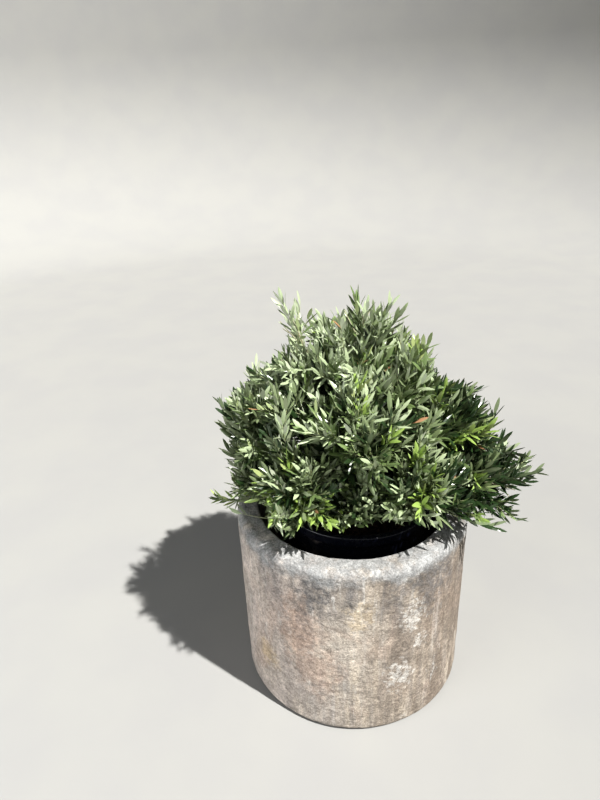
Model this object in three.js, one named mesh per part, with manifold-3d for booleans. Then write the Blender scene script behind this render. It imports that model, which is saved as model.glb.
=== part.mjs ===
// A bushy olive in a round cast-stone planter, in millimetres, +Z up, standing on z = 0 with the
// planter's axis on the Z axis. -Y is the front. The plant stands in a black nursery pot inside the
// planter. A short trunk rises from the soil and carries one bough for each mass of foliage.
import * as THREE from "three";
import { mergeVertices } from "three/addons/utils/BufferGeometryUtils.js";
import Module from "manifold-3d";

const wasm = await Module();
wasm.setup();

// Driving dimensions of the pots and the soil
const GAP = 0.3; // clear space between pieces that touch
const PLANTER = { radius: 295, height: 508, wall: 56, floor: 60, sides: 48 };
const PLANTER_EDGE = { shoulder: 20, lip: 7, foot: 15 }; // how far each edge is rounded
const LINER = { topRadius: 189, footRadius: 166, wall: 5, proud: 10, sides: 36 };
const LINER_LIP = { radius: 200, height: 24, edge: 3 };
const LINER_SHIFT = new THREE.Vector3(12, 12, 0); // the nursery pot stands a little off centre
const SOIL = { belowLip: 42, mound: 14, flatRadius: 48, sides: 30 };

const LINER_FOOT_Z = PLANTER.floor + GAP;
const LINER_TOP_Z = PLANTER.height + LINER.proud;
const SOIL_TOP_Z = LINER_TOP_Z - SOIL.belowLip;

// Driving dimensions of the wood
const TRUNK = { height: 104, lean: 10, sides: 10, steps: 6 };
const TRUNK_RADIUS = { foot: 34, neck: 23, top: 20, flare: 0.35 };
const BOUGH = { radiusPerReach: 0.0155, tipShare: 0.6, sides: 5, steps: 5, sag: 0.1 };
const HUB = new THREE.Vector3(20, 4, 556); // the crown spreads from about here
const ROOT_SHARE = 0.28; // how far out along its reach a bough hands over to its foliage
const RIM_CLEAR = 30; // a bough passes this far above the planter's rim

// Driving dimensions of the foliage
const STEM = { radius: 5.2, tipRadius: 3, steps: 5 };
const TWIG = { radius: 3.8, tipRadius: 2.2, steps: 2, longest: 0.45, shortest: 30, lift: 0.25 };
const LEAF = { length: 102, width: 34, ridge: 4, sink: 2, angle: 52, tilt: 75 };
const SPACING = { pitch: 34, apart: 0.31, tries: 6, fullReach: 340 }; // how closely leaves are set
const LOBE = 0.9; // how fast a mass falls back from its reach to each side of its tip
const MARGIN = 1.6; // foliage keeps this far inside its own space
const LIMB_MARGIN = 1.5;
const POT_MARGIN = 5;
const GOLDEN_ANGLE = 137.508;
const UP = new THREE.Vector3(0, 0, 1);

// Each mass: heading in degrees from +X towards +Y (the back), rise above level from the hub,
// reach from the hub to the furthest tip, number of twigs, and a seed.
const MASSES = [
  ["top_left", 174, 70, 543, 11, 12],
  ["top", 70, 86, 526, 11, 13],
  ["top_right", 352, 64, 418, 10, 14],
  ["top_back", 92, 56, 442, 11, 15],
  ["upper_front", 268, 54, 398, 12, 16],
  ["upper_left", 188, 40, 424, 11, 17],
  ["upper_right", 356, 36, 392, 11, 18],
  ["back_left", 137, 26, 394, 11, 19],
  ["back_right", 42, 24, 392, 11, 20],
  ["left", 196, 5, 374, 11, 21],
  ["right", 350, 3, 450, 12, 22],
  ["front_left", 234, 22, 342, 12, 23],
  ["front_right", 306, 21, 334, 12, 24],
  ["low_front", 272, 7, 256, 12, 25],
  ["low_back", 90, 5, 382, 11, 26],
].map(([name, heading, rise, reach, twigs, seed]) => ({ name, heading, rise, reach, twigs, seed }));

// A repeatable stream of numbers from 0 to 1, the same for the same seed.
function seeded(seed) {
  let state = seed >>> 0;
  return () => {
    state = (state + 0x6d2b79f5) >>> 0;
    let t = state;
    t = Math.imul(t ^ (t >>> 15), t | 1);
    t ^= t + Math.imul(t ^ (t >>> 7), t | 61);
    return ((t ^ (t >>> 14)) >>> 0) / 4294967296;
  };
}

function rad(degrees) {
  return (degrees * Math.PI) / 180;
}

function mix(a, b, share) {
  return a + (b - a) * share;
}

// The direction with this heading and rise.
function pointing(heading, rise) {
  const level = Math.cos(rad(rise));
  const across = level * Math.cos(rad(heading));
  return new THREE.Vector3(across, level * Math.sin(rad(heading)), Math.sin(rad(rise)));
}

// Two directions square to this one and to each other.
function sidesOf(direction) {
  const helper = Math.abs(direction.z) > 0.95 ? new THREE.Vector3(1, 0, 0) : UP;
  const u = new THREE.Vector3().crossVectors(direction, helper).normalize();
  return [u, new THREE.Vector3().crossVectors(direction, u).normalize()];
}

// The direction that leaves `along` at `angle`, turned round it by `turn`, both in degrees.
function branching(along, angle, turn) {
  const [u, v] = sidesOf(along);
  return along
    .clone()
    .multiplyScalar(Math.cos(rad(angle)))
    .addScaledVector(u, Math.cos(rad(turn)) * Math.sin(rad(angle)))
    .addScaledVector(v, Math.sin(rad(turn)) * Math.sin(rad(angle)));
}

function solidOf(geometry) {
  const bare = new THREE.BufferGeometry().setAttribute("position", geometry.attributes.position);
  bare.setIndex(geometry.index);
  const merged = mergeVertices(bare, 1e-4);
  return new wasm.Manifold(
    new wasm.Mesh({
      numProp: 3,
      vertProperties: merged.attributes.position.array,
      triVerts: new Uint32Array(merged.index.array),
    }),
  );
}

function geometryOf(solid) {
  const { numProp, numVert, vertProperties, triVerts } = solid.getMesh();
  const positions = new Float32Array(numVert * 3);
  for (let i = 0; i < numVert; i++) {
    positions.set(vertProperties.subarray(i * numProp, i * numProp + 3), i * 3);
  }
  return new THREE.BufferGeometry()
    .setAttribute("position", new THREE.BufferAttribute(positions, 3))
    .setIndex(new THREE.BufferAttribute(triVerts, 1));
}

// The largest body of a solid.
function largest(solid) {
  return solid.decompose().reduce((a, b) => (b.volume() > a.volume() ? b : a));
}

// A profile of [radius, height] pairs turned about the Z axis.
function turned(profile, sides) {
  const points = profile.map(([r, z]) => new THREE.Vector2(r, z));
  return new THREE.LatheGeometry(points, sides).rotateX(Math.PI / 2);
}

// Points on a quarter circle about (r, z), from one angle in degrees to another.
function rounded(r, z, radius, from, to, steps) {
  return Array.from({ length: steps + 1 }, (_, i) => {
    const a = rad(mix(from, to, i / steps));
    return [r + radius * Math.cos(a), z + radius * Math.sin(a)];
  });
}

// A round limb along a curve: a cylinder whose rings are moved to the curve and given its radius there.
function limb(curve, radiusAt, sides, steps) {
  const geometry = new THREE.CylinderGeometry(1, 1, 1, sides, steps);
  const frames = curve.computeFrenetFrames(steps, false);
  const points = curve.getSpacedPoints(steps);
  const position = geometry.attributes.position;
  for (let i = 0; i < position.count; i++) {
    const share = 0.5 - position.getY(i);
    const ring = Math.round(share * steps);
    const radius = radiusAt(share);
    const moved = points[ring]
      .clone()
      .addScaledVector(frames.normals[ring], position.getX(i) * radius)
      .addScaledVector(frames.binormals[ring], position.getZ(i) * radius);
    position.setXYZ(i, moved.x, moved.y, moved.z);
  }
  return geometry;
}

function tapering(from, to) {
  return (share) => mix(from, to, share);
}

// The planter, its inner pot and the soil

function planterGeometry() {
  const { radius, height, wall, floor, sides } = PLANTER;
  const { shoulder, lip, foot } = PLANTER_EDGE;
  const inner = radius - wall;
  return turned(
    [
      [0, 0],
      ...rounded(radius - foot, foot, foot, -90, 0, 2),
      ...rounded(radius - shoulder, height - shoulder, shoulder, 0, 90, 3),
      ...rounded(inner + lip, height - lip, lip, 90, 180, 2),
      [inner, floor],
      [0, floor],
    ],
    sides,
  );
}

// The liner's inside radius at a height: it narrows towards its foot.
function linerInside(z) {
  const { topRadius, footRadius, wall } = LINER;
  return mix(footRadius, topRadius, (z - LINER_FOOT_Z) / (LINER_TOP_Z - LINER_FOOT_Z)) - wall;
}

function linerGeometry() {
  const { topRadius, footRadius, wall, sides } = LINER;
  const { radius, height, edge } = LINER_LIP;
  return turned(
    [
      [0, LINER_FOOT_Z],
      [footRadius, LINER_FOOT_Z],
      [topRadius, LINER_TOP_Z - height - edge],
      [radius, LINER_TOP_Z - height],
      [radius, LINER_TOP_Z - edge],
      [radius - edge, LINER_TOP_Z],
      [topRadius, LINER_TOP_Z],
      [linerInside(LINER_TOP_Z - edge), LINER_TOP_Z - edge],
      [linerInside(LINER_FOOT_Z + wall), LINER_FOOT_Z + wall],
      [0, LINER_FOOT_Z + wall],
    ],
    sides,
  );
}

function soilGeometry() {
  const foot = LINER_FOOT_Z + LINER.wall + GAP;
  const edgeZ = SOIL_TOP_Z - SOIL.mound;
  const clear = 1;
  return turned(
    [
      [0, foot],
      [linerInside(foot) - clear, foot],
      [linerInside(edgeZ) - clear, edgeZ],
      [mix(SOIL.flatRadius, linerInside(edgeZ), 0.6), SOIL_TOP_Z - 0.6 * SOIL.mound],
      [SOIL.flatRadius, SOIL_TOP_Z],
      [0, SOIL_TOP_Z],
    ],
    SOIL.sides,
  );
}

// The wood

const TRUNK_FOOT = LINER_SHIFT.clone().setZ(SOIL_TOP_Z + GAP);

function trunkCurve() {
  const top = TRUNK_FOOT.clone().add(new THREE.Vector3(TRUNK.lean, -TRUNK.lean, TRUNK.height));
  const middle = TRUNK_FOOT.clone().lerp(top, 0.5);
  middle.x -= TRUNK.lean / 2;
  return new THREE.CatmullRomCurve3([TRUNK_FOOT, middle, top]);
}

// The trunk flares towards its foot and narrows slowly above.
function trunkRadius(share) {
  const { foot, neck, top, flare } = TRUNK_RADIUS;
  return mix(neck, top, share) + Math.max(0, 1 - share / flare) ** 2 * (foot - neck);
}

// The trunk starts at its foot on a level flat cut, so its lowest ring is set level.
function trunkGeometry(extra = 0) {
  const geometry = limb(trunkCurve(), (share) => trunkRadius(share) + extra, TRUNK.sides, TRUNK.steps);
  const position = geometry.attributes.position;
  const level = TRUNK_FOOT.z + TRUNK.height / TRUNK.steps / 2;
  for (let i = 0; i < position.count; i++) {
    if (position.getZ(i) < level) position.setZ(i, TRUNK_FOOT.z - extra);
  }
  return geometry;
}

// Where a mass is: its outward direction, its furthest tip, and the place where its bough ends.
function layOut(mass) {
  const out = pointing(mass.heading, mass.rise);
  const tip = HUB.clone().addScaledVector(out, mass.reach);
  const root = HUB.clone().addScaledVector(out, mass.reach * ROOT_SHARE);
  root.z = Math.max(root.z, PLANTER.height + RIM_CLEAR);
  const leafLength = LEAF.length * Math.min(1, mass.reach / SPACING.fullReach);
  return { ...mass, out, tip, root, leafLength, boughRadius: mass.reach * BOUGH.radiusPerReach };
}

// A bough leaves the trunk on the side that faces its mass, higher up for a mass that rises more.
function boughCurve(place) {
  const level = Math.min(1, Math.max(0, (place.rise + 18) / 92));
  const share = mix(0.4, 0.98, level);
  const start = trunkCurve().getPointAt(share);
  start.addScaledVector(pointing(place.heading, 0), 0.55 * trunkRadius(share));
  const middle = start.clone().lerp(place.root, 0.5);
  middle.z -= BOUGH.sag * start.distanceTo(place.root) * Math.cos(rad(place.rise));
  middle.z = Math.max(middle.z, start.z);
  return new THREE.CatmullRomCurve3([start, middle, place.root]);
}

function boughRadius(place) {
  return tapering(place.boughRadius, place.boughRadius * BOUGH.tipShare);
}

const places = MASSES.map(layOut);
for (const place of places) place.bough = boughCurve(place);

// The foliage

// The planes through the hub that part a mass from each other mass.
function wallsOf(place) {
  return places
    .filter((other) => other !== place)
    .map((other) => other.out.clone().sub(place.out).normalize());
}

function clearOfPots(point, radius) {
  const clear = radius + POT_MARGIN;
  const fromAxis = Math.hypot(point.x, point.y);
  const fromLiner = Math.hypot(point.x - LINER_SHIFT.x, point.y - LINER_SHIFT.y);
  if (fromAxis < PLANTER.radius + clear && point.z < PLANTER.height + clear) return false;
  return fromLiner > LINER_LIP.radius + clear || point.z > LINER_TOP_Z + clear;
}

// Is a ball of this radius inside the mass's own space and clear of the pots?
function within(place, point, radius) {
  const from = point.clone().sub(HUB);
  const distance = from.length();
  const lobe = 1 - LOBE * (1 - from.dot(place.out) / distance);
  const parted = place.walls.every((normal) => normal.dot(from) < -radius - MARGIN);
  return parted && distance < place.reach * lobe && clearOfPots(point, radius);
}

// The wood that foliage keeps clear of, as a row of balls along each limb.
function ballsAlong(curve, radiusAt, count) {
  return Array.from({ length: count + 1 }, (_, i) => ({
    point: curve.getPointAt(i / count),
    radius: radiusAt(i / count),
  }));
}

const woodBalls = [
  ...ballsAlong(trunkCurve(), trunkRadius, 12),
  ...places.flatMap((place) => ballsAlong(place.bough, boughRadius(place), 40)),
];

function clearOfWood(point, radius) {
  return woodBalls.every((ball) => ball.point.distanceTo(point) > ball.radius + radius + LIMB_MARGIN);
}

function isFree(place, point, radius) {
  return within(place, point, radius) && clearOfWood(point, radius);
}

// A path that leaves in one direction and bends towards the light.
function bentPath(start, direction, length, lift) {
  const middle = start.clone().addScaledVector(direction, length / 2);
  const end = direction.clone().addScaledVector(UP, lift).normalize();
  return new THREE.QuadraticBezierCurve3(start, middle, middle.clone().addScaledVector(end, length / 2));
}

// The stem goes on from the bough's tip in the bough's direction and bends to the mass's furthest tip.
function stemCurve(place) {
  const direction = place.bough.getTangentAt(1);
  const start = place.root.clone().addScaledVector(direction, GAP);
  const end = place.tip.clone().addScaledVector(place.out, -LEAF.length * 0.7);
  const middle = start.clone().addScaledVector(direction, start.distanceTo(end) / 2);
  return new THREE.QuadraticBezierCurve3(start, middle, end);
}

// A leaf with its base this far along a path.
function leafOn(path, share, direction, length, tilt) {
  const base = path.getPointAt(share);
  return { base, direction, length, tilt, middle: base.clone().addScaledVector(direction, length / 2) };
}

function tipLeaf(place, path) {
  return leafOn(path, 0.97, path.getTangentAt(1), place.leafLength * 0.8, 30);
}

// The twigs of a mass, each cut back until it fits the mass's space with the leaf at its tip.
function growTwigs(place, stem, leaves, random) {
  const twigs = [];
  for (let k = 0; k < place.twigs; k++) {
    const share = mix(0.03, 0.88, k / (place.twigs - 1));
    const angle = mix(78, 40, share) + 12 * (random() - 0.5);
    const direction = branching(stem.getTangentAt(share), angle, k * GOLDEN_ANGLE + 30 * random());
    const start = stem.getPointAt(share);
    for (let length = place.reach * TWIG.longest; length >= TWIG.shortest; length *= 0.88) {
      const path = bentPath(start, direction, length, TWIG.lift);
      const points = path.getSpacedPoints(10).slice(2);
      const leaf = tipLeaf(place, path);
      if (points.every((point) => isFree(place, point, TWIG.radius)) && leafFits(place, leaf, leaves)) {
        twigs.push({ path, length });
        leaves.push(leaf);
        break;
      }
    }
  }
  return twigs;
}

// Leaves along a path, each turned and drawn in until it fits the mass's space, or else skipped.
function growLeaves(place, path, length, leaves, random) {
  const count = Math.max(2, Math.round(length / SPACING.pitch));
  for (let j = 0; j < count; j++) {
    const share = mix(0.2, 0.92, j / (count - 1));
    const size = place.leafLength * mix(0.8, 1.06, random());
    const tilt = LEAF.tilt * (2 * random() - 1);
    for (let k = 0; k < SPACING.tries; k++) {
      const turn = (j + k) * GOLDEN_ANGLE + 60 * random();
      const direction = branching(path.getTangentAt(share), LEAF.angle - 4 * k, turn);
      direction.addScaledVector(UP, 0.15).normalize();
      const leaf = leafOn(path, share, direction, size * (1 - 0.06 * k), tilt);
      if (leafFits(place, leaf, leaves)) {
        leaves.push(leaf);
        break;
      }
    }
  }
}

// A blade of unit half length and half width, flat beneath and ridged above.
const BLADE = new THREE.BufferGeometry()
  .setAttribute(
    "position",
    new THREE.Float32BufferAttribute([-1, 0, 0, 1, 0, 0, 0, -1, 0, 0, 1, 0, 0, 0, 1], 3),
  )
  .setIndex([0, 3, 1, 0, 1, 2, 0, 2, 4, 2, 1, 4, 1, 3, 4, 3, 0, 4]);

// A leaf of the mass, its upper face turned outwards and a little to the sky.
function leafGeometry(place, { base, direction, length, tilt }) {
  const face = new THREE.Vector3(place.out.x, place.out.y, 0.3).normalize();
  face.addScaledVector(direction, -face.dot(direction)).normalize().applyAxisAngle(direction, rad(tilt));
  const across = new THREE.Vector3().crossVectors(face, direction);
  const half = length / 2;
  const matrix = new THREE.Matrix4()
    .makeBasis(
      direction.clone().multiplyScalar(half),
      across.multiplyScalar((LEAF.width * half) / LEAF.length),
      face.multiplyScalar(LEAF.ridge),
    )
    .setPosition(base.clone().addScaledVector(direction, half - LEAF.sink));
  return BLADE.clone().applyMatrix4(matrix);
}

// Does the leaf keep inside the mass's space, apart from its other leaves, and clear of the wood?
function leafFits(place, leaf, leaves) {
  const apart = SPACING.apart * place.leafLength;
  if (leaves.some((other) => other.middle.distanceTo(leaf.middle) < apart)) return false;
  const { position } = leafGeometry(place, leaf).attributes;
  const corner = (i) => new THREE.Vector3().fromBufferAttribute(position, i);
  const [tip, right, left, ridge] = [1, 2, 3, 4].map(corner);
  const inner = leaf.base.clone().lerp(ridge, 0.5);
  const outer = tip.clone().lerp(ridge, 0.5);
  const outline = [inner, ridge, right, left, outer, tip];
  return outline.every((point) => within(place, point, 0) && clearOfWood(point, LEAF.width / 6));
}

// One mass as one solid: stem, twigs and leaves joined. What came loose is dropped.
function massGeometry(place) {
  const random = seeded(place.seed);
  const stem = stemCurve(place);
  const leaves = [tipLeaf(place, stem)];
  const twigs = growTwigs(place, stem, leaves, random);
  growLeaves(place, stem, place.reach * 0.4, leaves, random);
  for (const { path, length } of twigs) growLeaves(place, path, length, leaves, random);
  const wood = [
    limb(stem, tapering(STEM.radius, STEM.tipRadius), 3, STEM.steps),
    ...twigs.map(({ path }) => limb(path, tapering(TWIG.radius, TWIG.tipRadius), 3, TWIG.steps)),
  ];
  const blades = leaves.map((leaf) => leafGeometry(place, leaf));
  return geometryOf(largest(wasm.Manifold.union([...wood, ...blades].map(solidOf))));
}

// The object

const COLOURS = {
  planter: { color: 0xa39c90, roughness: 0.9 },
  liner: { color: 0x10131a, roughness: 0.45 },
  soil: { color: 0x2f241b, roughness: 1 },
  bark: { color: 0x857b6b, roughness: 0.95 },
  foliage: { color: 0x74835a, roughness: 0.6 },
};

const potted_olive = new THREE.Group();

function add(name, geometry, look, at = new THREE.Vector3()) {
  const material = new THREE.MeshStandardMaterial({ ...COLOURS[look], metalness: 0 });
  const mesh = new THREE.Mesh(geometry, material);
  mesh.name = name;
  mesh.position.copy(at);
  potted_olive.add(mesh);
}

add("planter", planterGeometry(), "planter");
add("liner_pot", linerGeometry(), "liner", LINER_SHIFT);
add("soil", soilGeometry(), "soil", LINER_SHIFT);
add("trunk", trunkGeometry(), "bark");

const trunkClear = solidOf(trunkGeometry(GAP));
for (const place of places) {
  place.walls = wallsOf(place);
  const wood = solidOf(limb(place.bough, boughRadius(place), BOUGH.sides, BOUGH.steps));
  add("bough_" + place.name, geometryOf(largest(wood.subtract(trunkClear))), "bark");
}
for (const place of places) add("foliage_" + place.name, massGeometry(place), "foliage");

export default potted_olive;
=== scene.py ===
from math import atan2, cos, dist, floor, hypot, pi, radians, sin, sqrt
from types import SimpleNamespace as Values

import bpy
import numpy as np
from mathutils import Matrix, Vector, noise
from numpy.linalg import norm


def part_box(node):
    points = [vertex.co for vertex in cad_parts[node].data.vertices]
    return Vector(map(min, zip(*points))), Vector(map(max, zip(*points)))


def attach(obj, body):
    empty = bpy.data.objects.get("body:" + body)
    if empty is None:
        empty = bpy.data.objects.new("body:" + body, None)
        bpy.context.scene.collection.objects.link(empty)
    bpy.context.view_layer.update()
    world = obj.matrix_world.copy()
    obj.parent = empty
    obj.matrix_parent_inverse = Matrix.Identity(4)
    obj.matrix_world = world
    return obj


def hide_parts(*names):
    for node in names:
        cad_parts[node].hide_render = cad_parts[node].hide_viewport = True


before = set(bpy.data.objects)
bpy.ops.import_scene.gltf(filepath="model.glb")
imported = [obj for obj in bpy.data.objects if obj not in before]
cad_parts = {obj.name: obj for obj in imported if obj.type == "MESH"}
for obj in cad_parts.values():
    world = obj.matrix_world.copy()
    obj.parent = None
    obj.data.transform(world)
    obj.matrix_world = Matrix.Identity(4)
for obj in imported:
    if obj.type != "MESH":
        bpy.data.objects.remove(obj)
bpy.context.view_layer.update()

# A bushy olive in a black nursery pot inside a round cast-stone planter, in metres, its front towards -Y


def measured(box, **values):
    """A round solid's measures, from its box."""
    low, high = box
    return Values(radius=(high.x - low.x) / 2, foot=low.z, top=high.z, centre=(low + high) / 2, **values)


PLANTER = measured(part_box("planter"), wall=0.056, floor=0.06, shoulder=0.02, lip=0.007, heel=0.015)
LINER = measured(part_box("liner_pot"), lip=0.024, edge=0.003, foot_radius=0.166, body_radius=0.189, wall=0.005)
SOIL = measured(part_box("soil"), mound=0.014, flat=0.048)
TRUNK_FOOT = np.array([LINER.centre.x, LINER.centre.y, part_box("trunk")[0].z])

# The growth rule's numbers, as in the part's source

GAP = 0.0003
TRUNK_HEIGHT, TRUNK_LEAN = 0.104, 0.01
TRUNK_RADIUS = Values(foot=0.034, neck=0.023, top=0.02, flare=0.35)
BOUGH = Values(radius_per_reach=0.0155, tip_share=0.6, sag=0.1, starts=(0.4, 0.98), off_axis=0.55)
HUB = np.array([0.02, 0.004, 0.556])  # the crown spreads from about here
ROOT_SHARE, RIM_CLEAR = 0.28, 0.03  # how far out a bough hands over to its foliage, and how far above the rim
TWIG = Values(radius=0.0038, longest=0.45, shortest=0.03, cut=0.88, lift=0.25, shares=(0.03, 0.88), angles=(78, 40))
LEAF = Values(
    length=0.102, width=0.034, ridge=0.004, sink=0.002, angle=52, tilt=75, lift=0.15, shares=(0.2, 0.92),
    sizes=(0.8, 1.06),
)
SPACING = Values(pitch=0.034, apart=0.31, tries=6, full_reach=0.34)
LOBE = 0.9  # how fast a mass falls back from its reach to each side of its tip
MARGIN, LIMB_MARGIN, POT_MARGIN = 0.0016, 0.0015, 0.005
GOLDEN_ANGLE = 137.508
UP = np.array([0.0, 0.0, 1.0])

# Each mass: heading, rise, reach, twigs, seed
MASSES = [
    ("top_left", 174, 70, 0.543, 11, 12),
    ("top", 70, 86, 0.526, 11, 13),
    ("top_right", 352, 64, 0.418, 10, 14),
    ("top_back", 92, 56, 0.442, 11, 15),
    ("upper_front", 268, 54, 0.398, 12, 16),
    ("upper_left", 188, 40, 0.424, 11, 17),
    ("upper_right", 356, 36, 0.392, 11, 18),
    ("back_left", 137, 26, 0.394, 11, 19),
    ("back_right", 42, 24, 0.392, 11, 20),
    ("left", 196, 5, 0.374, 11, 21),
    ("right", 350, 3, 0.45, 12, 22),
    ("front_left", 234, 22, 0.342, 12, 23),
    ("front_right", 306, 21, 0.334, 12, 24),
    ("low_front", 272, 7, 0.256, 12, 25),
    ("low_back", 90, 5, 0.382, 11, 26),
]

# The finer growth: most leaves of the solids are a shoot here, with leaves in crossed pairs

SHOOT = Values(
    radius=0.0011, tip_radius=0.0005, pitch=0.0148, spacing=0.0108, lengths=(0.055, 0.15), lift=0.55,
    sides=(0.22, 0.42), clear=0.016,
)
BLADE = Values(
    length=0.0455, width=0.0087, angles=(44, 20), lift=0.1, vigour=(0.84, 1.14), taper=(0.78, 1.12),
    lengths=(0.8, 1.05), widths=(0.8, 1.15), droops=(-0.06, 0.2), dead=0.003,
)
FINE_LOBE = 0.6
MINGLE, SPARE = 0.09, 0.01  # how far fine growth may pass its mass's own space, and its reach
NEAR = Values(planter=0.003, liner=0.002, depth=0.06)  # how near to the pots, and how deep in, leaves come
LOWEST = 0.425  # nothing hangs lower
RAISED = Values(x=0.3, lift=0.045)  # to the right of x this much less hangs down
# The share of its reach to which a mass is filled; beyond it only its leading shoots go on
FILLED = {"top_left": 0.72, "top": 0.8, "right": 0.84, "top_right": 0.92}
# Where the crown is thin: from these heights up, this share of the shoots is left out or kept
THIN_LEAVES = Values(height=0.9, left_out=0.3)
THIN_LIMBS = Values(height=0.86, kept=0.35)
OPEN = Values(height=0.92, top=0.7, left_x=-0.07, left=0.15, right_x=0.25, right=0.2)
# Painted shade: to the right most leaves get the dark tint, and in the lower right corner nearly all of them
SHADED_X = 0.2  # to the right of it most leaves are dark
SHADED_CORNER = Values(x=0.28, height=0.6)  # and to the right of x, below this height, nearly all

# The tints of leaves: the colour above and beneath, and the roughness above
# dark is the leaf colour darkened as painted shade; pale is partly a silvery tone and partly painted light
TINTS = {
    "sage": ((0.44, 0.49, 0.36), (0.6, 0.64, 0.52), 0.32),
    "olive": ((0.4, 0.47, 0.3), (0.56, 0.61, 0.44), 0.32),
    "pale": ((0.62, 0.67, 0.54), (0.74, 0.77, 0.68), 0.34),
    "dark": ((0.16, 0.23, 0.13), (0.42, 0.47, 0.35), 0.28),
    "young": ((0.54, 0.63, 0.34), (0.66, 0.71, 0.48), 0.34),
    "dead": ((0.58, 0.44, 0.32), (0.62, 0.52, 0.42), 0.7),
}

# The crown's outline from the front, on the plane y = 0, in millimetres: height with its left and right edge, x with
# its top, and x with the lower edge of what grows in front
EYE = np.array([0.0, -1.33527, 1.443])
EDGES = np.array([
    (400, -290, 390), (440, -330, 450), (470, -355, 400), (530, -325, 390), (585, -310, 474), (630, -302, 440),
    (670, -305, 375), (710, -312, 340), (757, -320, 350), (784, -326, 310), (827, -270, 281), (845, -262, 220),
    (880, -242, 190), (900, -185, 175), (940, -178, 155), (990, -172, 118), (1080, -163, 116),
]).T / 1000
TOPS = np.array([
    (-163, 1073), (-116, 1075), (-108, 940), (-98, 940), (-85, 1020), (-45, 1036), (-10, 1060), (10, 1080),
    (45, 1035), (90, 1068), (116, 1057),
]).T / 1000
FRONT = np.array([
    (-363, 482), (-326, 452), (-283, 477), (-235, 471), (-225, 395), (-180, 350), (-149, 363), (-131, 397),
    (-70, 392), (-30, 386), (30, 410), (120, 419), (180, 397), (230, 398), (330, 410), (390, 391), (451, 435),
]).T / 1000
FRONT_Y = 0.05  # what grows behind it has no lower edge
OUTSIDE = 0.004  # how far a shoot's leaves may pass the outline

# Leading shoots that stand out of the crown: mass and tips, in millimetres
LEADERS = [
    ("top_left", [(-153, 20, 1017), (-118, 0, 1012)]),
    ("top", [(-72, -20, 972), (14, 20, 1024), (52, 0, 992), (85, 20, 1008), (105, 0, 990)]),
    ("upper_left", [(-239, 0, 859), (-243, -50, 806)]),
    ("left", [(-319, 20, 761), (-284, 30, 778), (-284, -20, 652), (-326, -60, 534)]),
    ("front_left", [(-279, -120, 542)]),
    ("top_right", [(146, 20, 919), (180, 20, 866)]),
    ("upper_right", [(211, 0, 818)]),
    ("back_right", [(298, 120, 753)]),
    ("upper_right", [(312, 50, 740)]),
    ("right", [(347, 30, 731), (361, 0, 670), (415, -30, 638), (432, -60, 623),
               (413, -70, 604), (385, -120, 531), (350, -140, 579)]),
    ("front_right", [(323, -160, 537)]),
]
LEADER = Values(run=0.13, sides=(0.26, 0.44, 0.62), one_side=(0.4,), crest=0.94, right_x=0.3, back_y=0.395)
OVERHANG = Values(low=0.045, crest=0.022, cleft=0.004)  # how far a leader's leaves may pass the outline
CLEFT = Values(angle=62, shoots=3, heights=(0.53, 0.92), back_y=0.34)


# Numbers and directions


def seeded(seed):
    state = seed & 0xFFFFFFFF

    def draw():
        nonlocal state
        state = (state + 0x6D2B79F5) & 0xFFFFFFFF
        t = state
        t = ((t ^ (t >> 15)) * (t | 1)) & 0xFFFFFFFF
        t ^= (t + (((t ^ (t >> 7)) * (t | 61)) & 0xFFFFFFFF)) & 0xFFFFFFFF
        return (t ^ (t >> 14)) / 4294967296

    return draw


def noise_step(draw):
    return np.array([draw() - 0.5 for _ in range(3)])


def mix(a, b, share):
    return a + (b - a) * share


def unit(v):
    return v / norm(v)


def unit_rows(v):
    return v / np.maximum(norm(v, axis=1, keepdims=True), 1e-12)


def pointing(heading, rise):
    h, r = radians(heading), radians(rise)
    return np.array([cos(r) * cos(h), cos(r) * sin(h), sin(r)])


def sides_of(direction):
    """Two directions square to this one and to each other."""
    helper = np.array([1.0, 0.0, 0.0]) if abs(direction[2]) > 0.95 else UP
    u = unit(np.cross(direction, helper))
    return u, unit(np.cross(direction, u))


def branching(along, angle, turn):
    """The direction that leaves another at an angle, turned round it."""
    u, v = sides_of(along)
    a, t = radians(angle), radians(turn)
    return along * cos(a) + u * cos(t) * sin(a) + v * sin(t) * sin(a)


def from_liner(x, y):
    """How far places are from the nursery pot's axis."""
    return np.hypot(x - LINER.centre.x, y - LINER.centre.y)


# Curves, read evenly along their length

NUDGE = 1e-4


class Path:
    """A curve given as a function of 0 to 1, read at shares of its length."""

    def __init__(self, curve):
        self.curve = curve
        self.steps = np.linspace(0, 1, 201)
        runs = norm(np.diff(curve(self.steps), axis=0), axis=1)
        self.lengths = np.concatenate([[0], np.cumsum(runs)])
        self.length = self.lengths[-1]

    def where(self, share):
        return np.interp(share * self.length, self.lengths, self.steps)

    def at(self, share):
        return self.curve(np.array([self.where(share)]))[0]

    def along(self, share):
        t = self.where(share)
        ends = self.curve(np.array([max(t - NUDGE, 0), min(t + NUDGE, 1)]))
        return unit(ends[1] - ends[0])

    def spaced(self, count):
        return self.curve(self.where(np.linspace(0, 1, count + 1)))


def bend(start, middle, end):
    return Path(lambda t: np.outer((1 - t) ** 2, start) + np.outer(2 * (1 - t) * t, middle) + np.outer(t**2, end))


def spline(first, middle, last):
    """A centripetal spline through three points."""
    a, b = middle - first, last - middle
    root_a, root_b = norm(a) ** 0.5, norm(b) ** 0.5
    through = a / root_a - (a + b) / (root_a + root_b) + b / root_b

    def piece(point, step, leave, arrive, t):
        square, cube = 3 * step - 2 * leave - arrive, leave + arrive - 2 * step
        return point + np.outer(t, leave) + np.outer(t**2, square) + np.outer(t**3, cube)

    def curve(t):
        early = piece(first, a, a, through * root_a, np.clip(2 * t, 0, 1))
        late = piece(middle, b, through * root_b, b, np.clip(2 * t - 1, 0, 1))
        return np.where((t < 0.5)[:, None], early, late)

    return Path(curve)


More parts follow.
